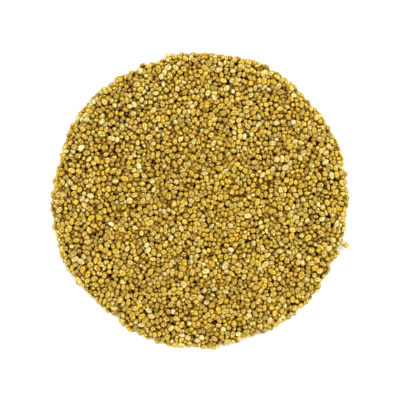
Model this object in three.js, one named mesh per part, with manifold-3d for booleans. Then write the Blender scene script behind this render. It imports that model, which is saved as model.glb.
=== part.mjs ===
// A round, low heap of foxtail millet as poured on a flat surface and levelled, with one grain lying just
// outside it. Millimetres, +Z up, the surface at Z 0 and the middle of the whole box on the Z axis.
//
// The heap is one closed solid. Its skin has a bump for each grain that shows, its foot is a ring of rounded
// grains standing on the surface, and the topmost loose grains are whole low-sided ovoids fused on.

import * as THREE from "three";
import { ConvexHull } from "three/addons/math/ConvexHull.js";
import { mergeVertices } from "three/addons/utils/BufferGeometryUtils.js";
import Module from "manifold-3d";

// One grain
const GRAIN_LENGTH = 2.15;
const GRAIN_WIDTH = 1.66;
const GRAIN_THICKNESS = 1.5;

// The heap
const HEAP_RADIUS = 47.25;
const HEAP_HEIGHT = 4.6;
const RIM_HEIGHT = 1.5; // top of the outermost grains
const SLOPE_WIDTH = 6.2; // from the outline in to where the level top begins
// Where the outline swells out, or lies flatter: direction and spread in degrees
const OUTLINE_SWELLS = [
  { at: 54, out: 0.3, spread: 7 },
  { at: 115, out: -0.5, spread: 13 },
  { at: 168, out: -0.4, spread: 13 },
  { at: 203, out: 0.7, spread: 5 },
  { at: 234, out: -0.85, spread: 9 },
  { at: 268, out: 0.4, spread: 16 },
  { at: 325, out: 0.25, spread: 14 },
];

// The bumps
const BUMP_PITCH = 2.42;
const RIM_PITCH = 2.02;
const BUMP_DEPTH = 0.8; // from a bump's top to the hollows round it
const BUMP_JITTER = 0.27; // share of the pitch that a bump may stand off its even place
const BUMP_RISE = 0.28; // most that a bump stands above or below the even surface
const RIM_RISE = 0.12;
const RIM_JITTER = 0.25; // most that a rim grain stands out or in
const RIM_SHIFT = 0.3; // share of the pitch that a rim grain may stand along the rim from its even place
const RIM_NOTCH = 0.62; // how far the outline cuts in between two rim grains
const WAIST_HEIGHT = 0.75; // of the widest part of a rim grain
const FOOT_INSET = 0.45; // how far a rim grain's foot lies inside its widest part
const NOTCH_FOOT_INSET = 0.15; // the same in the notch between two rim grains
const DOWNWARD = -1e-9; // a hull face whose normal has a lower Z than this faces down

// Loose grains on the top and the slope
const LOOSE_GRAINS = 36;
const LOOSE_RISE = 0.12; // of a loose grain's middle above the bumps' tops
const LOOSE_EDGE = 1.6; // no loose grain's middle is nearer the outline
const LOOSE_STRAY = 0.2; // most that its direction from the middle is off the even spread, in radians
const LOOSE_TILT = 0.35; // most that a loose grain's long axis leans from level, in radians
const LOOSE_SIDES = 5; // round a loose grain
const LOOSE_BANDS = 4; // along it

// The grain beside the heap: its direction from the middle, and the gap to the outline
const STRAY_ANGLE = -17.4;
const STRAY_GAP = 0.6;
const STRAY_TURN = -38; // of its long axis from +X
const STRAY_SIDES = 12;
const STRAY_BANDS = 8;

const GOLDEN_ANGLE = Math.PI * (3 - Math.sqrt(5));
const MERGE_WITHIN = 1e-4;

// A repeatable draw of numbers from -1 to 1
function seeded(seed) {
  let state = seed;
  return () => {
    state = (state + 0x6d2b79f5) | 0;
    let t = Math.imul(state ^ (state >>> 15), 1 | state);
    t = (t + Math.imul(t ^ (t >>> 7), 61 | t)) ^ t;
    return ((t ^ (t >>> 14)) >>> 0) / 2147483648 - 1;
  };
}

function outlineRadius(angle) {
  const degrees = THREE.MathUtils.radToDeg(angle);
  return OUTLINE_SWELLS.reduce((radius, { at, out, spread }) => {
    const away = THREE.MathUtils.euclideanModulo(degrees - at + 180, 360) - 180;
    return radius + out * Math.exp(-((away / spread) ** 2));
  }, HEAP_RADIUS);
}

// The even height of the grains' tops, where the outline is this far away
function topHeight(inFromOutline) {
  const halfGrain = GRAIN_WIDTH / 2;
  const along = THREE.MathUtils.clamp((inFromOutline - halfGrain) / (SLOPE_WIDTH - halfGrain), 0, 1);
  return RIM_HEIGHT + (HEAP_HEIGHT - RIM_HEIGHT) * Math.sin((Math.PI / 2) * along);
}

function polar(radius, angle, z) {
  return new THREE.Vector3(radius * Math.cos(angle), radius * Math.sin(angle), z);
}

// Bump tops. Each has its place on the heap, and a place on an even disc on which the rim is a true circle.
function makeBumps() {
  const random = seeded(11);
  const discRadius = HEAP_RADIUS - GRAIN_WIDTH / 2;
  const bumps = [];
  const rimCount = Math.round((2 * Math.PI * discRadius) / RIM_PITCH);
  for (let i = 0; i < rimCount; i++) {
    const angle = (2 * Math.PI * (i + RIM_SHIFT * random())) / rimCount;
    const radius = outlineRadius(angle) - GRAIN_WIDTH / 2 + RIM_JITTER * random();
    const even = polar(discRadius, angle, 0);
    bumps.push({ even, angle, top: polar(radius, angle, RIM_HEIGHT + RIM_RISE * random()) });
  }
  const innerRadius = discRadius - BUMP_PITCH / 2;
  const innerCount = Math.round((Math.PI * innerRadius ** 2) / (BUMP_PITCH ** 2 * Math.sin(Math.PI / 3)));
  for (let i = 0; i < innerCount; i++) {
    const even = polar(innerRadius * Math.sqrt((i + 0.5) / innerCount), i * GOLDEN_ANGLE, 0);
    even.x += BUMP_PITCH * BUMP_JITTER * random();
    even.y += BUMP_PITCH * BUMP_JITTER * random();
    const angle = Math.atan2(even.y, even.x);
    const radius = (Math.hypot(even.x, even.y) * outlineRadius(angle)) / HEAP_RADIUS;
    const z = topHeight(outlineRadius(angle) - radius) + BUMP_RISE * random();
    bumps.push({ even, angle, top: polar(radius, angle, z) });
  }
  return { bumps, rimCount };
}

// Delaunay triangles of the bumps' even places: the underside of the hull of points lifted onto a bowl
function triangulate(bumps) {
  const lifted = bumps.map(({ even }) => new THREE.Vector3(even.x, even.y, even.lengthSq() / HEAP_RADIUS));
  const indexOf = new Map(lifted.map((point, index) => [point, index]));
  const hull = new ConvexHull().setFromPoints(lifted);
  const triangles = [];
  for (const face of hull.faces) {
    if (face.normal.z > DOWNWARD) continue;
    const corners = [];
    let edge = face.edge;
    do {
      corners.push(indexOf.get(edge.head().point));
      edge = edge.next;
    } while (edge !== face.edge);
    triangles.push(corners.reverse()); // seen from above, counter-clockwise
  }
  return triangles;
}

// The heap's bumpy body, as a list of points and triangles
function makeBody() {
  const { bumps, rimCount } = makeBumps();
  const triangles = triangulate(bumps);
  const points = bumps.map((bump) => bump.top);
  const faces = [];
  const addPoint = (point) => points.push(point) - 1;

  // A hollow at the middle of each triangle of bumps
  const hollows = triangles.map((corners) => {
    const middle = new THREE.Vector3();
    corners.forEach((corner) => middle.add(points[corner]));
    middle.divideScalar(3);
    middle.z = Math.max(middle.z - BUMP_DEPTH, WAIST_HEIGHT);
    return addPoint(middle);
  });

  // The outline: a tip in front of each rim grain and a notch after it, at the waist and at the foot
  const rim = bumps.slice(0, rimCount).map((bump, i) => {
    const next = bumps[(i + 1) % rimCount];
    const between = (bump.angle + next.angle + (i === rimCount - 1 ? 2 * Math.PI : 0)) / 2;
    const tipRadius = Math.hypot(bump.top.x, bump.top.y) + GRAIN_WIDTH / 2;
    const nextRadius = Math.hypot(next.top.x, next.top.y) + GRAIN_WIDTH / 2;
    const notchRadius = Math.min(tipRadius, nextRadius) - RIM_NOTCH;
    return {
      tip: addPoint(polar(tipRadius, bump.angle, WAIST_HEIGHT)),
      notch: addPoint(polar(notchRadius, between, WAIST_HEIGHT)),
      tipFoot: addPoint(polar(tipRadius - FOOT_INSET, bump.angle, 0)),
      notchFoot: addPoint(polar(notchRadius - NOTCH_FOOT_INSET, between, 0)),
    };
  });

  // Each bump is a fan over the hollows round it: two faces for each edge between two bumps
  const across = new Map();
  triangles.forEach((corners, t) => {
    corners.forEach((from, k) => across.set(`${from} ${corners[(k + 1) % 3]}`, hollows[t]));
  });
  for (const [edge, left] of across) {
    const [from, to] = edge.split(" ").map(Number);
    const right = across.get(`${to} ${from}`) ?? rim[from].notch;
    faces.push([from, right, left]);
    if (!across.has(`${to} ${from}`)) faces.push([to, left, right]);
  }

  // The rim grains' outer sides, and the flat base
  const centre = addPoint(new THREE.Vector3(0, 0, 0));
  rim.forEach((here, i) => {
    const last = rim[(i + rimCount - 1) % rimCount];
    faces.push([i, last.notch, here.tip], [i, here.tip, here.notch]);
    faces.push([last.notchFoot, here.tipFoot, here.tip], [last.notchFoot, here.tip, last.notch]);
    faces.push([here.tipFoot, here.notchFoot, here.notch], [here.tipFoot, here.notch, here.tip]);
    faces.push([centre, here.tipFoot, last.notchFoot], [centre, here.notchFoot, here.tipFoot]);
  });
  return { points, faces };
}

// A low-sided ovoid grain, its long axis along +X
function grainGeometry(sides, bands) {
  const ball = new THREE.SphereGeometry(0.5, sides, bands);
  ball.rotateZ(Math.PI / 2);
  ball.scale(GRAIN_LENGTH, GRAIN_WIDTH, GRAIN_THICKNESS);
  return ball;
}

const wasm = await Module();
wasm.setup();

function solidFromArrays(position, triVerts) {
  return new wasm.Manifold(new wasm.Mesh({ numProp: 3, vertProperties: position, triVerts }));
}

function solidFromGeometry(geometry) {
  geometry.deleteAttribute("normal");
  geometry.deleteAttribute("uv");
  const merged = mergeVertices(geometry, MERGE_WITHIN);
  const points = new Float32Array(merged.attributes.position.array);
  return solidFromArrays(points, new Uint32Array(merged.index.array));
}

function geometryFromSolid(solid) {
  const { numProp, vertProperties, triVerts } = solid.getMesh();
  const geometry = new THREE.BufferGeometry();
  geometry.setAttribute("position", new THREE.BufferAttribute(vertProperties, numProp));
  geometry.setIndex(new THREE.BufferAttribute(triVerts, 1));
  geometry.computeVertexNormals();
  return geometry;
}

// Loose grains spread evenly over the heap, half sunk among the bumps, each turned its own way
function looseGrains() {
  const random = seeded(29);
  const reach = HEAP_RADIUS - LOOSE_EDGE;
  return Array.from({ length: LOOSE_GRAINS }, (_, i) => {
    const angle = i * GOLDEN_ANGLE + LOOSE_STRAY * random();
    const radius = reach * Math.sqrt((i + 0.5) / LOOSE_GRAINS);
    const z = topHeight(outlineRadius(angle) - radius) + LOOSE_RISE - GRAIN_THICKNESS / 4;
    const grain = grainGeometry(LOOSE_SIDES, LOOSE_BANDS);
    grain.rotateX(Math.PI * random());
    grain.rotateY(LOOSE_TILT * random());
    grain.rotateZ(Math.PI * random());
    return solidFromGeometry(grain.translate(...polar(radius, angle, z)));
  });
}

function makeHeap() {
  const { points, faces } = makeBody();
  const body = solidFromArrays(
    new Float32Array(points.flatMap((point) => point.toArray())),
    new Uint32Array(faces.flat())
  );
  return looseGrains().reduce((heap, grain) => heap.add(grain), body);
}

const material = new THREE.MeshStandardMaterial({ color: 0xc9a44e, roughness: 0.5, metalness: 0 });
const group = new THREE.Group();

const heap = new THREE.Mesh(geometryFromSolid(makeHeap()), material);
heap.name = "millet_heap";
group.add(heap);

const strayAngle = THREE.MathUtils.degToRad(STRAY_ANGLE);
const strayRadius = outlineRadius(strayAngle) + STRAY_GAP + GRAIN_WIDTH / 2;
const straySolid = solidFromGeometry(grainGeometry(STRAY_SIDES, STRAY_BANDS));
const stray = new THREE.Mesh(geometryFromSolid(straySolid), material);
stray.name = "stray_grain";
stray.position.copy(polar(strayRadius, strayAngle, GRAIN_THICKNESS / 2));
stray.rotation.z = THREE.MathUtils.degToRad(STRAY_TURN);
group.add(stray);

// The middle of the box's base goes to the origin
const box = new THREE.Box3().setFromObject(group, true);
const middle = box.getCenter(new THREE.Vector3());
group.position.set(-middle.x, -middle.y, -box.min.z);

export default group;
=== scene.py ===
"""Looks of a low, round heap of hulled foxtail millet: grains over a dark core, and one grain beside it.

The grains are poured loosely under the heap's profile and settle by a small contact simulation. Each grain
that shows is then an ovoid mesh of true size, one piece for each kind of colour. Lengths are millimetres
until a mesh is made.
"""

import math

import bpy
import numpy as np
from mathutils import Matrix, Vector


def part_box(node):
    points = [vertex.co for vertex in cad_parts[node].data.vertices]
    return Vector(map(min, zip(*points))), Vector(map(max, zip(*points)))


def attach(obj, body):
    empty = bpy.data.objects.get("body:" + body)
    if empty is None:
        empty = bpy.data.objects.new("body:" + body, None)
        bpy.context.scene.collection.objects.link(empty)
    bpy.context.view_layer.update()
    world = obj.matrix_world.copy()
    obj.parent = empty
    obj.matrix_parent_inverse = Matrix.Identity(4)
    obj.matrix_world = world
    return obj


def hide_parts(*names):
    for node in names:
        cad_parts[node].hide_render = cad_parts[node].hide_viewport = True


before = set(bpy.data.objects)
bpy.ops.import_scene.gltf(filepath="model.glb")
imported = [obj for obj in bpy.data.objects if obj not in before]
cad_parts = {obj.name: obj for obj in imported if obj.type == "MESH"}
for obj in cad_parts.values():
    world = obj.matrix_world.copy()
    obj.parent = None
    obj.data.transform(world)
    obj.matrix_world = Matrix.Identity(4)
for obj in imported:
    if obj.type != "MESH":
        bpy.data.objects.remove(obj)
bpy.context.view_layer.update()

MM = 0.001
UP = np.array([0.0, 0.0, 1.0])
HEAP_SEED = 7
STRAY_SEED = 3
TINY = 1e-9  # keeps a division away from zero
NUDGE = 1e-6  # gives an upright grain a width direction

# One grain. Along it, -1 is the end with the scar and 1 the other end
GRAIN_LENGTH = 2.37
GRAIN_WIDTH = 1.7
GRAIN_THICKNESS = 1.5
LENGTH_SPREAD = 0.08  # standard deviations of the three, as shares of them
WIDTH_SPREAD = 0.06
THICKNESS_SPREAD = 0.07
MOST_SPREADS = 2  # how many standard deviations a size is off at most
EGG = (0.02, 0.12)  # least and most by which the girth grows from the middle to the end without the scar
TIP = (0.0, 0.1)  # least and most extra taper towards the scar
BEND_SPREAD = 0.05  # standard deviation of how far the ends bend aside
ROLL_SPREAD = 28  # standard deviation of a grain's roll about its long axis, in degrees
FACETS = 4  # flattened places of a grain
FACET_NEAREST = 0.84  # share of the grain's half size at which the deepest one lies
LEAST_FACING = 0.1  # keeps a facet to the points that face it
SCAR_RADIUS = 0.27  # of the dark scar at a grain's end
GERM_MIDDLE = -0.35
GERM_LENGTH = 0.5  # half sizes of the pale germ, as shares of half the grain
GERM_WIDTH = 0.3
NO_GERM = 4  # measure from the germ, which is 1 at its edge, on the side that has none
GROOVE_DEPTH = 0.09  # of the germ's groove along one side, as a share of half the thickness
GROOVE_LENGTH = 0.45
GROOVE_WIDTH = 0.22

# The heap, as in the frame: its middle, outline, and even height of the grains' tops inside and at the rim
HEAP_MIDDLE = np.array([-0.09, 0.11, 0.0])
HEAP_RADIUS = 47.6
HEAP_HEIGHT = 4.6
RIM_HEIGHT = 1.5
SLOPE_WIDTH = 6.2
# Where the outline swells out, or lies flatter: direction in degrees, how far out, spread in degrees
OUTLINE_SWELLS = [
    (54, 0.3, 7),
    (115, -0.5, 13),
    (168, -0.4, 13),
    (203, 0.7, 5),
    (234, -0.85, 9),
    (268, 0.4, 16),
    (325, 0.25, 14),
]

# Pouring: hexagonal layers, then each grain off its place by chance
POUR_PITCH = 1.74
POUR_RISE = 1.29
ROW_STEP = math.sqrt(0.75)  # between the rows of a hexagonal layer, in pitches
SPARE_ROWS = 3  # poured past the outline, because each layer is shifted
POUR_JITTER = 0.8
POUR_TOP_JITTER = 0.35
RIM_SLACK = 0.75  # how much lower under the profile the grains are poured at the outline than inside
SIZE_SPREAD = 0.13  # standard deviation of a grain's whole size
LEVELLED = 0.6  # share of its upward part that a grain's long axis keeps

# Settling: each grain is two balls on a rod, of these sizes for a grain of size 1
BALL_RADIUS = 0.67
BALL_GAP = 0.66
STEPS = 110
SOLVES = 5
FALL = 0.035  # in each step
PAIRS_EVERY = 4  # steps from one search for near balls to the next
NEAR = 0.35  # reach of that search past the largest balls' touch
OVER_RELAX = 1.7
DECIMALS = 5  # kept of the balls' places, so that every run settles in the same way
LID_SPREAD = 0.25  # how far a grain may end above or below the even top
EDGE_MARGIN = 0.05  # least inset of a grain from the outline, and the most that chance adds to it
EDGE_INSET = 1.6
THIN_WIDTH = 1.25  # band inside the outline from which this share of the grains is taken out again
THIN_SHARE = 0.45

# Which grains show: a grid's cell, how many cells a grain reaches, and the directions looked from
SIGHT_CELL = 0.24
SIGHT_REACH = 3
SIGHT_TURNS = 8
SIGHT_HEIGHTS = (50, 22, 8)
ASKEW = (0.3, 0.5, 0.8)  # is not parallel to any of those directions
WELL_SEEN = 1.0  # square millimetres that show of a grain with full detail, and of one with any mesh
HARDLY_SEEN = 0.42

# Detail of a grain's mesh: sides round it and rings along it
FULL_DETAIL = (12, 7)
LOW_DETAIL = (8, 5)
STRAY_DETAIL = (28, 18)
UV_INSET = 0.04  # of a grain's UVs in its tile, as a share of the tile

# Kinds of grain: name, sRGB colour, share of all grains
KINDS = [
    ("straw", (161, 141, 51), 0.17),
    ("gold", (163, 141, 31), 0.17),
    ("wheat", (154, 134, 39), 0.17),
    ("cream", (172, 160, 101), 0.15),
    ("butter", (172, 153, 66), 0.16),
    ("honey", (166, 144, 12), 0.1),
    ("pearl", (181, 173, 127), 0.03),
    ("toast", (144, 121, 28), 0.05),
]
STRAY_COLOUR = (176, 159, 53)
SCAR_COLOUR = (52, 26, 8)
# Painted shade of the gaps on the core, and painted light on it near the outline
CORE_SHADE_COLOUR = (142, 66, 16)
CORE_RIM_LIGHT_COLOUR = (208, 158, 44)

# Where a grain lies, for the painted shade and light in its colour: its depth below the highest grain close
# by, and how near it is to the outline
PAINTED_SHADE_DEPTH = 2.2  # depth at which a grain's painted shade is at its darkest
CREST_CELL = 1.3  # grid's cell; the highest grain is looked for in a cell and the eight round it
RIM_SHADE_SHARE = 0.35  # share of the painted shade that is left at the outline, where more light gets in
RIM_WIDTH = 4.5  # band inside the outline that takes the painted light of the rim's tint
# Painted shade deep down and painted light at the outline, as tints of the grains' colours: the measure of
# place, its least and full value, the tint
PAINTED_SHADE_AND_LIGHT_TINTS = [
    # painted shade: darker, then darker and redder, deep among the grains
    ("deep", 0.15, 0.55, (0.87, 0.76, 0.4, 1)),
    ("deep", 0.55, 1.0, (0.96, 0.58, 0.34, 1)),
    # painted light: lighter and yellower at the outline, as where the floor's light shines through thin
    # grains
    ("rim", 0.0, 1.0, (1.08, 1.06, 0.64, 1)),
]
# What each point of a grain tells its material
GRAIN_MEASURES = ("tint", "deep", "rim", "from_scar", "from_germ")

# A grain's skin. A shade is the amount of the kind's colour and of its blue; a range is where a change lies
DARK_SHADE = (0.86, 0.8)
PALE_SHADE = (1.16, 1.2)
GERM_SHADE = (1.15, 1.7)
GERM_RANGE = (0.5, 1.3)
GERM_SHARE = 0.6
HALO_SHADE = (0.5, 0.5)  # round the scar
HALO_RANGE = (SCAR_RADIUS, 2.2 * SCAR_RADIUS)
HALO_SHARE = 0.45
SCAR_RANGE = (0.7 * SCAR_RADIUS, 1.15 * SCAR_RADIUS)
PATCH_SCALE = 1300
PATCH_RANGE = (0.35, 0.65)
PATCH_TINT = (0.84, 0.78, 0.6, 1)
SPECK_SCALE = 5200
SPECK_DETAIL = 1.0
SPECK_RANGE = (0.58, 0.72)
SPECK_SHARE = 0.5
SPECK_TINT = (0.72, 0.63, 0.4, 1)
GLOSS_SCALE = 2600
GLOSS_RANGE = (0.3, 0.7)
GLOSS_ROUGHNESS = (0.2, 0.42)
DULL_RANGE = (0.15, 0.6)  # of depth
DULL_ROUGHNESS = (0.8, 0.8, 0.8, 1)  # as a grey
BUMP_SCALE = 7000
BUMP_DETAIL = 3.0
BUMP_HEIGHT = 0.012
REFRACTION = 1.55
SPECULAR = 1.0
SCATTER = 0.6
SCATTER_RADIUS = (1.0, 0.7, 0.2)
SCATTER_DEPTH = 0.6

# How far the grains keep inside the solid's box at its sides and top
BOX_MARGIN = 0.01

# The core, whose relief is the lowest layer of grains, and whose colour is the painted shade of the gaps
CORE_INSET = 1.9  # from the outline
CORE_FOOT = 0.75  # height of its flat base
CORE_FLOOR = 1.0  # least height of its top
CORE_LAYER = 1.6  # height below which a grain's middle is in the lowest layer
CORE_CAP = 0.94  # share of those grains' ball radius that the relief shows
CORE_STEPS = 120  # points along each side of its grid
CORE_PATCH_SCALE = 700
CORE_DARK = 0.6
CORE_PALE = 1.3
CORE_ROUGHNESS = 0.8

# The grain beside the heap: turn of its long axis seen from above, in degrees
STRAY_TURN = 142

# The floor, in metres
FLOOR_SIZE = 2
FLOOR_COLOUR = (0.73, 0.73, 0.73, 1)
FLOOR_ROUGHNESS = 0.9

# The camera looks straight down, and its frame is this wide on the floor; all in millimetres
LENS = 100
SENSOR = 36
FRAME_WIDTH = 127.0

# The light, in metres and watts: a ring of round lamps that point at the heap, the first the strongest
LAMPS = 5
LAMP_TURN = 35  # direction of the first, in degrees
LAMP_SIZE = 0.36
LAMP_POWER = 3.0
LAMP_UNEVEN = 0.1
RING_RADIUS = 0.7
RING_HEIGHT = 0.45
WORLD_STRENGTH = 0.185


def unit(vectors):
    """These vectors at length 1."""
    return vectors / np.linalg.norm(vectors, axis=-1, keepdims=True)


def node_box(node):
    """The low and high corners of the box of a node's solid, in millimetres."""
    return [np.array(corner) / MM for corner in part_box(node)]


def grid_cells(points, size):
    """Each point's cell in a grid, counted from 1, so that the cells round it are in the grid as well."""
    cells = np.floor(points / size).astype(np.int64)
    return cells - (cells.min(axis=0) - 1)


def outline_radius(angle):
    """Distance of the heap's outline from its middle in this direction."""
    degrees = np.degrees(angle)
    radius = np.full_like(degrees, HEAP_RADIUS)
    for at, out, spread in OUTLINE_SWELLS:
        away = (degrees - at + 180) % 360 - 180
        radius += out * np.exp(-((away / spread) ** 2))
    return radius


def inside_by(points):
    """How far inside the heap's outline points lie, seen from above."""
    angle = np.arctan2(points[:, 1], points[:, 0])
    return outline_radius(angle) - np.hypot(points[:, 0], points[:, 1])


def top_height(inside):
    """Even height of the grains' tops this far inside the outline."""
    half = GRAIN_WIDTH / 2
    along = np.clip((inside - half) / (SLOPE_WIDTH - half), 0, 1)
    return RIM_HEIGHT + (HEAP_HEIGHT - RIM_HEIGHT) * np.sin(np.pi / 2 * along)


def poured_grains(random):
    """Middles of loosely poured grains, layer on layer, under the heap's profile."""
    reach = int(HEAP_RADIUS / POUR_PITCH) + SPARE_ROWS
    column, row = np.meshgrid(np.arange(-reach, reach + 1), np.arange(-reach, reach + 1))
    flat = np.stack([column + 0.5 * (row % 2), row * ROW_STEP], axis=-1).reshape(-1, 2) * POUR_PITCH
    layers = []
    for layer in range(int(HEAP_HEIGHT / POUR_RISE) + 1):
        turn = random.uniform(0, 2 * math.pi)
        spin = np.array([[math.cos(turn), -math.sin(turn)], [math.sin(turn), math.cos(turn)]])
        places = flat @ spin + random.uniform(-1, 1, 2) * POUR_PITCH
        height = np.full(len(places), GRAIN_THICKNESS / 2 + layer * POUR_RISE)
        points = np.column_stack([places, height])
        points += random.uniform(-POUR_JITTER, POUR_JITTER, points.shape)
        inside = inside_by(points)
        top = top_height(inside) + random.uniform(-POUR_TOP_JITTER, POUR_TOP_JITTER, len(points))
        slack = POUR_RISE / 2 - RIM_SLACK * (1 - np.clip(inside / SLOPE_WIDTH, 0, 1))
        fits = points[:, 2] + GRAIN_THICKNESS / 2 < top + slack
        room = (inside > GRAIN_WIDTH / 2) & (fits | (layer == 0))
        layers.append(points[room])
    return np.concatenate(layers)


def two_balls(middles, axes, sizes):
    """Middles of the grains' balls: one ball of every grain, and then the other ball of every grain."""
    halves = axes * (sizes * BALL_GAP / 2)[:, None]
    return np.concatenate([middles - halves, middles + halves])


def near_pairs(balls, reach):
    """Index pairs of balls nearer than reach, without the two balls of one grain."""
    cells = grid_cells(balls, reach)
    wide, deep = cells[:, 1].max() + 2, cells[:, 2].max() + 2
    key = (cells[:, 0] * wide + cells[:, 1]) * deep + cells[:, 2]
    order = np.argsort(key, kind="stable")
    ranked = key[order]
    here = np.arange(len(balls))
    found = []
    steps = [(x, y, z) for x in (0, 1) for y in (-1, 0, 1) for z in (-1, 0, 1)]
    for x, y, z in [step for step in steps if step >= (0, 0, 0)]:
        target = ranked + (x * wide + y) * deep + z
        last = np.searchsorted(ranked, target, "right")
        first = here + 1 if (x, y, z) == (0, 0, 0) else np.searchsorted(ranked, target, "left")
        for nth in range(int((last - first).max(initial=0))):
            some = first + nth < last
            found.append(np.column_stack([order[here[some]], order[first[some] + nth]]))
    pairs = np.concatenate(found)
    apart = np.linalg.norm(balls[pairs[:, 0]] - balls[pairs[:, 1]], axis=1)
    grains = len(balls) // 2
    pairs = pairs[(apart < reach) & (pairs[:, 0] % grains != pairs[:, 1] % grains)]
    return pairs[:, 0], pairs[:, 1]


def push_apart(balls, radii, one, other):
    """Moves overlapping balls apart, each by up to OVER_RELAX times the mean of its pushes."""
    away = balls[one] - balls[other]
    distance = np.linalg.norm(away, axis=1)
    overlap = radii[one] + radii[other] - distance
    touch = overlap > 0
    one, other = one[touch], other[touch]
    push = away[touch] * (overlap[touch] / (2 * distance[touch] + TINY))[:, None]
    size = len(balls)
    count = np.bincount(one, minlength=size) + np.bincount(other, minlength=size)
    for axis in range(3):
        shift = np.bincount(one, push[:, axis], size) - np.bincount(other, push[:, axis], size)
        balls[:, axis] += shift * np.minimum(OVER_RELAX / np.maximum(count, 1), 1)


def keep_rods(balls, lengths):
    """Puts each grain's two balls back at their distance."""
    half = len(balls) // 2
    rod = balls[half:] - balls[:half]
    length = np.linalg.norm(rod, axis=1)
    fix = rod * ((length - lengths) / (2 * length))[:, None]
    balls[:half] += fix
    balls[half:] -= fix


def keep_inside(balls, radii, lids, insets):
    """Keeps balls above the floor, below the heap's even top and within the outline."""
    balls[:, 2] = np.minimum(balls[:, 2], top_height(inside_by(balls)) + lids - radii)
    balls[:, 2] = np.maximum(balls[:, 2], radii)
    over = np.maximum(radii + insets - inside_by(balls), 0)
    distance = np.hypot(balls[:, 0], balls[:, 1])
    balls[:, :2] *= (1 - over / distance)[:, None]


def settle(balls, sizes, lids, insets):
    """Lets the balls fall and push each other apart; gives their places at rest."""
    radii = np.tile(sizes * BALL_RADIUS, 2)
    for step in range(STEPS):
        if step % PAIRS_EVERY == 0:
            one, other = near_pairs(balls, 2 * radii.max() + NEAR)
        balls[:, 2] -= FALL
        for _ in range(SOLVES):
            push_apart(balls, radii, one, other)
            keep_rods(balls, sizes * BALL_GAP)
            keep_inside(balls, radii, lids, insets)
        balls = np.round(balls, DECIMALS)
    return balls


def settled_grains(random):
    """Middles, long axes and sizes of the grains of the heap, at rest."""
    middles = poured_grains(random)
    axes = unit(random.normal(size=middles.shape) * (1, 1, LEVELLED))
    most = MOST_SPREADS * SIZE_SPREAD
    sizes = np.clip(random.normal(1, SIZE_SPREAD, len(middles)), 1 - most, 1 + most)
    lids = np.tile(random.uniform(-LID_SPREAD, LID_SPREAD, len(middles)), 2)
    insets = np.tile(EDGE_MARGIN + random.uniform(0, EDGE_INSET, len(middles)), 2)
    first, second = np.split(settle(two_balls(middles, axes, sizes), sizes, lids, insets), 2)
    middles = (first + second) / 2
    stays = (inside_by(middles) > THIN_WIDTH) | (random.uniform(0, 1, len(middles)) > THIN_SHARE)
    return middles[stays], unit(second - first)[stays], sizes[stays]


def grain_frames(axes, random):
    """Rotation matrices whose columns are each grain's length, width and thickness directions."""
    flat = unit(np.cross(UP, axes) + NUDGE)
    thick = np.cross(axes, flat)
    roll = random.normal(0, math.radians(ROLL_SPREAD), len(axes))[:, None]
    width = flat * np.cos(roll) + thick * np.sin(roll)
    return np.stack([axes, width, np.cross(axes, width)], axis=2)


def seen_from(middles, radii, direction):
    """How much of each ball shows from far off in this direction, in mm², drawn on a grid."""
    across = unit(np.cross(direction, ASKEW))
    upward = np.cross(direction, across)
    step = np.arange(-SIGHT_REACH, SIGHT_REACH + 1)
    spots = np.stack(np.meshgrid(step, step), axis=-1).reshape(-1, 2) * SIGHT_CELL
    spots = spots[np.hypot(*spots.T) < GRAIN_THICKNESS / 2]
    flat = np.stack([middles @ across, middles @ upward], axis=1)
    places = flat[:, None, :] + spots[None]
    bulge = np.maximum(radii[:, None] ** 2 - (spots**2).sum(axis=1), 0)
    height = (middles @ direction)[:, None] + np.sqrt(bulge)
    cells = np.round((places - places.min(axis=(0, 1))) / SIGHT_CELL).astype(np.int64)
    cell = (cells[..., 0] * (cells[..., 1].max() + 1) + cells[..., 1]).ravel()
    order = np.argsort(height.ravel(), kind="stable")
    nearest = np.full(cell.max() + 1, -1)
    nearest[cell[order]] = order // len(spots)
    return np.bincount(nearest[nearest >= 0], minlength=len(middles)) * SIGHT_CELL**2


def shown(middles, axes, sizes, line):
    """How much of each grain shows from far off in this direction."""
    seen = seen_from(two_balls(middles, axes, sizes), np.tile(sizes * BALL_RADIUS, 2), line)
    return seen[: len(middles)] + seen[len(middles) :]


def sight_lines():
    """Directions from straight above down to near the floor."""
    lines = [UP]
    for height in SIGHT_HEIGHTS:
        for turn in 2 * np.pi * np.arange(SIGHT_TURNS) / SIGHT_TURNS:
            lines.append(unit(np.array([np.cos(turn), np.sin(turn), np.tan(np.radians(height))])))
    return lines


def grains_that_show(middles, axes, sizes):
    """Which grains show well, and which show so little, or from below alone, that a plainer mesh will do."""
    seen = np.max([shown(middles, axes, sizes, line) for line in sight_lines()], axis=0)
    below = shown(middles, axes, sizes, -UP) > HARDLY_SEEN
    full = seen > WELL_SEEN
    return full, ~full & ((seen > HARDLY_SEEN) | below)


def grain_kinds(count, random):
    """Each grain's kind, by the kinds' shares."""
    shares = np.cumsum([share for _, _, share in KINDS])
    return np.searchsorted(shares / shares[-1], random.uniform(0, 1, count))


def crest_near(middles, sizes):
    """For each grain, how far the highest grain close by stands above the heap's even top."""
    over = middles[:, 2] + sizes * GRAIN_THICKNESS / 2 - top_height(inside_by(middles))
    cells = grid_cells(middles[:, :2], CREST_CELL)
    grid = np.full(cells.max(axis=0) + 2, over.min())
    np.maximum.at(grid, tuple(cells.T), over)
    beside = [(x, y) for x in (-1, 0, 1) for y in (-1, 0, 1)]
    return np.max([grid[cells[:, 0] + x, cells[:, 1] + y] for x, y in beside], axis=0)


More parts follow.
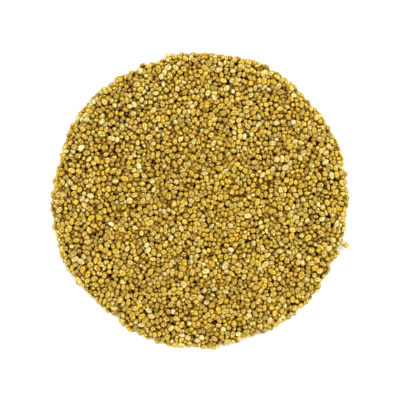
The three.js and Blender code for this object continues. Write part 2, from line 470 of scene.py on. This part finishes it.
def template(sides, rings):
    """A grain's sphere grid: directions, faces as rings of corners, and the corners' places in a UV tile."""
    polar = np.pi * np.arange(1, rings + 1) / (rings + 1)
    around = 2 * np.pi * np.arange(sides) / sides
    ring = np.stack(
        [
            np.repeat(-np.cos(polar), sides),
            np.outer(np.sin(polar), np.cos(around)).ravel(),
            np.outer(np.sin(polar), np.sin(around)).ravel(),
        ],
        axis=1,
    )
    directions = np.concatenate([[[-1, 0, 0]], ring, [[1, 0, 0]]])
    faces, places = [], []
    last = len(directions) - 1
    step = 1 / (rings + 1)
    for side in range(sides):
        after = (side + 1) % sides
        left, right, middle = side / sides, (side + 1) / sides, (side + 0.5) / sides
        faces.append((0, 1 + after, 1 + side))
        places.append([(middle, 0), (right, step), (left, step)])
        for band in range(rings - 1):
            low, high = 1 + band * sides, 1 + (band + 1) * sides
            below, above = (band + 1) * step, (band + 2) * step
            faces.append((low + side, low + after, high + after, high + side))
            places.append([(left, below), (right, below), (right, above), (left, above)])
        top = 1 + (rings - 1) * sides
        faces.append((top + side, top + after, last))
        places.append([(left, 1 - step), (right, 1 - step), (middle, 1)])
    return directions, faces, places


def grain_shapes(directions, sizes, random):
    """Vertices of each grain in its own frame: an ovoid with a taper to the scar and a germ groove."""
    count = len(sizes)
    along, side, up = directions.T

    def vary(spread):
        most = MOST_SPREADS * spread
        return 1 + np.clip(random.normal(0, spread, (count, 1)), -most, most)

    egg = random.uniform(*EGG, (count, 1))
    tip = random.uniform(*TIP, (count, 1))
    bend = random.normal(0, BEND_SPREAD, (count, 1))
    lean = random.normal(0, BEND_SPREAD, (count, 1))
    cut = np.ones((count, len(directions)))
    for _ in range(FACETS):
        facing = unit(random.normal(size=(count, 3))) @ directions.T
        reach = random.uniform(FACET_NEAREST, 1, (count, 1))
        cut = np.minimum(cut, reach / np.maximum(facing, LEAST_FACING))
    girth = 1 + egg * along - tip * np.clip(-along, 0, 1) ** 3
    from_groove = ((along - GERM_MIDDLE) / GROOVE_LENGTH) ** 2 + (side / GROOVE_WIDTH) ** 2
    groove = GROOVE_DEPTH * np.exp(-from_groove) * (up > 0)
    x = GRAIN_LENGTH / 2 * vary(LENGTH_SPREAD) * along
    y = GRAIN_WIDTH / 2 * vary(WIDTH_SPREAD) * girth * side + lean * along**2
    z = GRAIN_THICKNESS / 2 * vary(THICKNESS_SPREAD) * (girth * up - groove) + bend * along**2
    return np.stack([x, y, z], axis=2) * (cut * sizes[:, None])[:, :, None]


def place_grains(middles, frames, sizes, directions, box, random):
    """Vertices of each grain in the frame, each grain moved so that it keeps inside the solid's box."""
    local = grain_shapes(directions, sizes, random)
    points = np.einsum("nij,nvj->nvi", frames, local) + middles[:, None, :]
    low, high = box
    points -= np.maximum(points.max(axis=1) - (high - BOX_MARGIN), 0)[:, None, :]
    points += np.maximum(low + BOX_MARGIN * (1 - UP) - points.min(axis=1), 0)[:, None, :]
    return points


def mark_measures(directions):
    """How far each point of a grain is from the scar, in millimetres, and from the germ, as a square."""
    along, side, up = directions.T
    scar = np.hypot(side, up) * GRAIN_WIDTH / 2
    germ = ((along - GERM_MIDDLE) / GERM_LENGTH) ** 2 + (side / GERM_WIDTH) ** 2
    return np.where(along < 0, scar, GRAIN_WIDTH), np.where(up > 0, germ, NO_GERM)


def batch_values(batch, first_point, first_tile, tiles, box, random):
    """One array for each thing that a batch of grains adds to its mesh."""
    middles, frames, sizes, crests, detail = batch
    directions, faces, places = template(*detail)
    points = place_grains(middles, frames, sizes, directions, box, random).reshape(-1, 3)
    count, each = len(middles), len(directions)
    number = first_tile + np.arange(count)
    tile = np.stack([number % tiles, number // tiles], axis=1)
    in_tile = UV_INSET + (1 - 2 * UV_INSET) * np.concatenate(places)
    inside = inside_by(points - HEAP_MIDDLE)
    # painted shade: darker the deeper a point lies below the crest close by, with less of it near the
    # outline
    depth = top_height(inside) + np.repeat(crests, each) - points[:, 2]
    darkest = RIM_SHADE_SHARE + (1 - RIM_SHADE_SHARE) * np.clip(inside / SLOPE_WIDTH, 0, 1)
    from_scar, from_germ = mark_measures(directions)
    return {
        "points": points,
        "loops": (first_point + np.concatenate(faces)[None, :] + each * np.arange(count)[:, None]).ravel(),
        "lengths": np.tile([len(face) for face in faces], count),
        "uv": ((tile[:, None, :] + in_tile[None]) / tiles).reshape(-1, 2),
        "tint": np.repeat(random.uniform(0, 1, count), each),
        # painted shade by depth
        "deep": depth / PAINTED_SHADE_DEPTH * darkest,
        # painted light by nearness to the outline
        "rim": 1 - np.clip(inside / RIM_WIDTH, 0, 1),
        "from_scar": np.tile(from_scar, count),
        "from_germ": np.tile(from_germ, count),
    }


def joined_mesh(name, batches, box, random):
    """One mesh of many grains. A batch is its grains' middles, frames, sizes and crests, and its detail."""
    tiles = math.ceil(math.sqrt(sum(len(batch[0]) for batch in batches)))
    parts = []
    first_point = first_tile = 0
    for batch in batches:
        parts.append(batch_values(batch, first_point, first_tile, tiles, box, random))
        first_point += len(parts[-1]["points"])
        first_tile += len(batch[0])
    whole = {key: np.concatenate([part[key] for part in parts]) for key in parts[0]}

    mesh = bpy.data.meshes.new(name)
    mesh.vertices.add(len(whole["points"]))
    mesh.loops.add(len(whole["loops"]))
    mesh.polygons.add(len(whole["lengths"]))
    mesh.vertices.foreach_set("co", (whole["points"] * MM).ravel())
    mesh.loops.foreach_set("vertex_index", whole["loops"])
    mesh.polygons.foreach_set("loop_start", np.concatenate([[0], np.cumsum(whole["lengths"])[:-1]]))
    mesh.polygons.foreach_set("use_smooth", np.ones(len(whole["lengths"]), bool))
    mesh.update(calc_edges=True)
    mesh.uv_layers.new(name="OFBake").uv.foreach_set("vector", whole["uv"].ravel())
    for label in GRAIN_MEASURES:
        mesh.attributes.new(label, "FLOAT", "POINT").data.foreach_set("value", whole[label])
    return mesh


def disc_grid(steps):
    """A square grid bent onto a disc of radius 1, row by row: each point's angle and distance."""
    line = np.linspace(-1, 1, steps)
    across, upward = np.meshgrid(line, line)
    wide = np.abs(across) > np.abs(upward)
    reach = np.where(wide, across, upward)
    turn = np.where(wide, np.pi / 4 * upward / across, np.pi / 2 - np.pi / 4 * across / upward)
    x, y = (reach * np.cos(turn)).ravel(), (reach * np.sin(turn)).ravel()
    return np.arctan2(y, x), np.hypot(x, y)


def relief(flat, middles, radii):
    """Height of the core's top at these places: the tops of the grains there."""
    height = np.full(len(flat), CORE_FLOOR)
    for rows in np.array_split(np.arange(len(flat)), CORE_STEPS):
        apart = ((flat[rows, None, :] - middles[None, :, :2]) ** 2).sum(axis=2)
        bulge = CORE_CAP**2 * radii[None, :] ** 2 - apart
        tops = np.where(bulge > 0, middles[None, :, 2] + np.sqrt(np.maximum(bulge, 0)), 0)
        height[rows] = np.maximum(tops.max(axis=1), CORE_FLOOR)
    return height


def core_mesh(middles, radii):
    """A closed disc inside the heap, its top the relief of these grains and its flat base below them."""
    angle, share = disc_grid(CORE_STEPS)
    edge = outline_radius(angle) - CORE_INSET
    flat = np.column_stack([np.cos(angle), np.sin(angle)]) * (share * edge)[:, None]
    top = np.column_stack([flat, relief(flat, middles, radii)])
    index = np.arange(CORE_STEPS**2).reshape(CORE_STEPS, CORE_STEPS)
    quads = np.stack([index[:-1, :-1], index[:-1, 1:], index[1:, 1:], index[1:, :-1]], axis=-1)
    border = np.concatenate([index[0, :-1], index[:-1, -1], index[-1, :0:-1], index[:0:-1, 0]])
    foot = top[border]
    foot[:, 2] = CORE_FOOT
    points = np.concatenate([top, foot, [[0, 0, CORE_FOOT]]]) + HEAP_MIDDLE
    faces = quads.reshape(-1, 4).tolist()
    around = len(border)
    for here in range(around):
        after = (here + 1) % around
        low, low_after = len(top) + here, len(top) + after
        faces.append((int(border[after]), int(border[here]), low, low_after))
        faces.append((len(points) - 1, low_after, low))
    mesh = bpy.data.meshes.new("core")
    mesh.from_pydata((points * MM).tolist(), [], faces)
    mesh.polygons.foreach_set("use_smooth", np.ones(len(faces), bool))
    inside = inside_by(points - HEAP_MIDDLE)
    mesh.attributes.new("inside", "FLOAT", "POINT").data.foreach_set("value", inside)
    return mesh


def fit_to_box(mesh, low, high):
    """Stretches a mesh a little so that it fills the box between these two corners."""
    points = np.empty(3 * len(mesh.vertices))
    mesh.vertices.foreach_get("co", points)
    points = points.reshape(-1, 3) / MM
    points = low + (points - points.min(axis=0)) * (high - low) / np.ptp(points, axis=0)
    mesh.vertices.foreach_set("co", (points * MM).ravel())


def linear(colour):
    """A scene-linear colour from 8-bit sRGB."""
    share = np.array(colour) / 255
    return np.where(share <= 0.04045, share / 12.92, ((share + 0.055) / 1.055) ** 2.4)


def shade(colour, amount=1.0, blue=1.0):
    """The scene-linear colour, lighter or darker, with its blue raised or lowered as well."""
    red, green, deep = linear(colour) * amount
    return (red, green, deep * blue, 1)


class Wiring:
    """Short calls to add nodes to a new material and to link them."""

    def __init__(self, name):
        self.material = bpy.data.materials.new(name)
        self.material.use_nodes = True
        self.nodes, self.links = self.material.node_tree.nodes, self.material.node_tree.links
        self.shader = self.nodes["Principled BSDF"]

    def put(self, socket, value):
        """Links a socket to another one, or sets its own value."""
        if isinstance(value, bpy.types.NodeSocket):
            self.links.new(value, socket)
        else:
            socket.default_value = value

    def surface(self, label, value):
        """Sets or links one of the shader's own sockets."""
        self.put(self.shader.inputs[label], value)

    def attribute(self, name):
        """A measure that the mesh's points carry."""
        node = self.nodes.new("ShaderNodeAttribute")
        node.attribute_name = name
        return node.outputs["Fac"]

    def noise(self, scale, detail=2.0):
        """Noise in the object's own space, with about this many patches to the metre."""
        place = self.nodes.new("ShaderNodeTexCoord").outputs["Object"]
        node = self.nodes.new("ShaderNodeTexNoise")
        node.inputs["Scale"].default_value = scale
        node.inputs["Detail"].default_value = detail
        self.links.new(place, node.inputs["Vector"])
        return node.outputs["Fac"]

    def remap(self, value, low, high, to_low=0.0, to_high=1.0):
        """The value as it goes from low to high, turned smoothly into one from to_low to to_high."""
        node = self.nodes.new("ShaderNodeMapRange")
        node.interpolation_type = "SMOOTHSTEP"
        limits = {"From Min": low, "From Max": high, "To Min": to_low, "To Max": to_high}
        self.put(node.inputs["Value"], value)
        for label, number in limits.items():
            self.put(node.inputs[label], number)
        return node.outputs["Result"]

    def mix(self, factor, first, second, blend="MIX"):
        """The first colour, mixed with or multiplied by the second by this factor."""
        node = self.nodes.new("ShaderNodeMix")
        node.data_type = "RGBA"
        node.blend_type = blend
        self.put(node.inputs["Factor"], factor)
        self.put(node.inputs["A"], first)
        self.put(node.inputs["B"], second)
        return node.outputs["Result"]

    def tinted(self, share, colour, tint):
        """The colour, of which this share is multiplied by the tint."""
        return self.mix(share, colour, self.mix(1.0, colour, tint, "MULTIPLY"))

    def bump(self, height, distance):
        """Fine relief on the surface at full strength."""
        node = self.nodes.new("ShaderNodeBump")
        node.inputs["Distance"].default_value = distance
        node.inputs["Strength"].default_value = 1.0
        self.links.new(height, node.inputs["Height"])
        self.surface("Normal", node.outputs["Normal"])


def grain_skin(wiring, colour):
    """A grain's colour: its own shade, patches, specks, germ and scar, with painted shade deep down and
    painted light at the outline.
    """
    skin = wiring.mix(wiring.attribute("tint"), shade(colour, *DARK_SHADE), shade(colour, *PALE_SHADE))
    skin = wiring.tinted(wiring.remap(wiring.noise(PATCH_SCALE), *PATCH_RANGE), skin, PATCH_TINT)
    specks = wiring.remap(wiring.noise(SPECK_SCALE, SPECK_DETAIL), *SPECK_RANGE, 0.0, SPECK_SHARE)
    skin = wiring.tinted(specks, skin, SPECK_TINT)
    germ = wiring.remap(wiring.attribute("from_germ"), *GERM_RANGE, GERM_SHARE, 0.0)
    skin = wiring.mix(germ, skin, shade(colour, *GERM_SHADE))
    halo = wiring.remap(wiring.attribute("from_scar"), *HALO_RANGE, HALO_SHARE, 0.0)
    skin = wiring.mix(halo, skin, shade(colour, *HALO_SHADE))
    scar = wiring.remap(wiring.attribute("from_scar"), *SCAR_RANGE, 1.0, 0.0)
    skin = wiring.mix(scar, skin, shade(SCAR_COLOUR))
    # painted shade, darker and redder deep down, and painted light, lighter and yellower at the outline
    for place, low, high, tint in PAINTED_SHADE_AND_LIGHT_TINTS:
        skin = wiring.tinted(wiring.remap(wiring.attribute(place), low, high), skin, tint)
    return skin


def grain_material(name, colour):
    """Satin bran that lets a little light in, duller where a grain lies deep."""
    wiring = Wiring(name)
    wiring.surface("Base Color", grain_skin(wiring, colour))
    gloss = wiring.remap(wiring.noise(GLOSS_SCALE), *GLOSS_RANGE, *GLOSS_ROUGHNESS)
    dull = wiring.remap(wiring.attribute("deep"), *DULL_RANGE)
    wiring.surface("Roughness", wiring.mix(dull, gloss, DULL_ROUGHNESS))
    wiring.surface("IOR", REFRACTION)
    wiring.surface("Specular IOR Level", SPECULAR)
    wiring.surface("Subsurface Weight", SCATTER)
    wiring.surface("Subsurface Radius", SCATTER_RADIUS)
    wiring.surface("Subsurface Scale", SCATTER_DEPTH * MM)
    wiring.bump(wiring.noise(BUMP_SCALE, BUMP_DETAIL), BUMP_HEIGHT * MM)
    return wiring.material


def painted_shade_core_material():
    """Painted shade of the gaps between grains, dark red-brown, and painted light towards the outline,
    yellower, where more light gets in.
    """
    wiring = Wiring("core")
    dark, pale = shade(CORE_SHADE_COLOUR, CORE_DARK), shade(CORE_SHADE_COLOUR, CORE_PALE)
    colour = wiring.mix(wiring.noise(CORE_PATCH_SCALE), dark, pale)
    # painted light: the core yellower towards the outline
    rim = wiring.remap(wiring.attribute("inside"), CORE_INSET, SLOPE_WIDTH, 1.0, 0.0)
    wiring.surface("Base Color", wiring.mix(rim, colour, shade(CORE_RIM_LIGHT_COLOUR)))
    wiring.surface("Roughness", CORE_ROUGHNESS)
    return wiring.material


def floor_material():
    """Plain pale matte."""
    wiring = Wiring("floor")
    wiring.surface("Base Color", FLOOR_COLOUR)
    wiring.surface("Roughness", FLOOR_ROUGHNESS)
    return wiring.material


def add_piece(mesh, material, node):
    """Puts a mesh in the scene as a piece of the object that stands for this node of the frame."""
    piece = bpy.data.objects.new(mesh.name, mesh)
    mesh.materials.append(material)
    bpy.context.scene.collection.objects.link(piece)
    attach(piece, "root")
    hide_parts(node)


def make_heap():
    """The grains of the heap, one piece for each kind, and the core under them."""
    random = np.random.default_rng(HEAP_SEED)
    middles, axes, sizes = settled_grains(random)
    frames = grain_frames(axes, random)
    full, low = grains_that_show(middles, axes, sizes)
    kind = grain_kinds(len(middles), random)
    crests = crest_near(middles, sizes)
    buried = ~full & (middles[:, 2] < CORE_LAYER)
    core = core_mesh(middles[buried], sizes[buried] * BALL_RADIUS)
    middles = middles + HEAP_MIDDLE
    box = node_box("millet_heap")
    for index, (name, colour, _) in enumerate(KINDS):
        batches = []
        for shows, detail in ((full, FULL_DETAIL), (low, LOW_DETAIL)):
            some = shows & (kind == index)
            batches.append((middles[some], frames[some], sizes[some], crests[some], detail))
        mesh = joined_mesh(f"grains_{name}", batches, box, random)
        add_piece(mesh, grain_material(f"millet_{name}", colour), "millet_heap")
    add_piece(core, painted_shade_core_material(), "millet_heap")


def make_stray_grain():
    """The grain beside the heap, which fills its solid's box."""
    random = np.random.default_rng(STRAY_SEED)
    low, high = node_box("stray_grain")
    middle = (low + high) / 2
    turn = math.radians(STRAY_TURN)
    axis = np.array([[math.cos(turn), math.sin(turn), 0]])
    width = np.array([[-math.sin(turn), math.cos(turn), 0]])
    frames = np.stack([axis, width, np.cross(axis, width)], axis=2)
    batch = (middle[None], frames, np.ones(1), np.zeros(1), STRAY_DETAIL)
    mesh = joined_mesh("stray_grain", [batch], (low, high), random)
    fit_to_box(mesh, low, high)
    add_piece(mesh, grain_material("millet_stray", STRAY_COLOUR), "stray_grain")


def make_floor():
    """The plain surface that the heap lies on."""
    bpy.ops.mesh.primitive_plane_add(size=FLOOR_SIZE)
    floor = bpy.context.object
    floor.name = "floor"
    floor.data.materials.append(floor_material())


def make_camera():
    """The photograph's view, straight down."""
    camera = bpy.data.cameras.new("camera")
    camera.lens = LENS
    camera.sensor_width = SENSOR
    holder = bpy.data.objects.new("camera", camera)
    holder.location = (0, 0, FRAME_WIDTH * MM * LENS / SENSOR)
    bpy.context.scene.collection.objects.link(holder)
    bpy.context.scene.camera = holder


def make_world():
    """Faint even light from all sides."""
    world = bpy.data.worlds.new("studio")
    world.use_nodes = True
    background = world.node_tree.nodes["Background"]
    background.inputs["Color"].default_value = (1, 1, 1, 1)
    background.inputs["Strength"].default_value = WORLD_STRENGTH
    bpy.context.scene.world = world


def make_lamps():
    """A ring of low, soft lamps."""
    for index in range(LAMPS):
        turn = 2 * math.pi * index / LAMPS + math.radians(LAMP_TURN)
        light = bpy.data.lights.new(f"softbox_{index}", "AREA")
        light.shape = "DISK"
        light.size = LAMP_SIZE
        light.energy = LAMP_POWER * (1 + LAMP_UNEVEN * math.cos(turn - math.radians(LAMP_TURN)))
        lamp = bpy.data.objects.new(light.name, light)
        lamp.location = (RING_RADIUS * math.cos(turn), RING_RADIUS * math.sin(turn), RING_HEIGHT)
        lamp.rotation_euler = Vector(lamp.location).to_track_quat("Z", "Y").to_euler()
        bpy.context.scene.collection.objects.link(lamp)


bpy.context.scene.view_settings.view_transform = "Standard"
bpy.context.scene.view_settings.look = "Very High Contrast"
make_camera()
make_world()
make_lamps()
make_floor()
make_heap()
make_stray_grain()
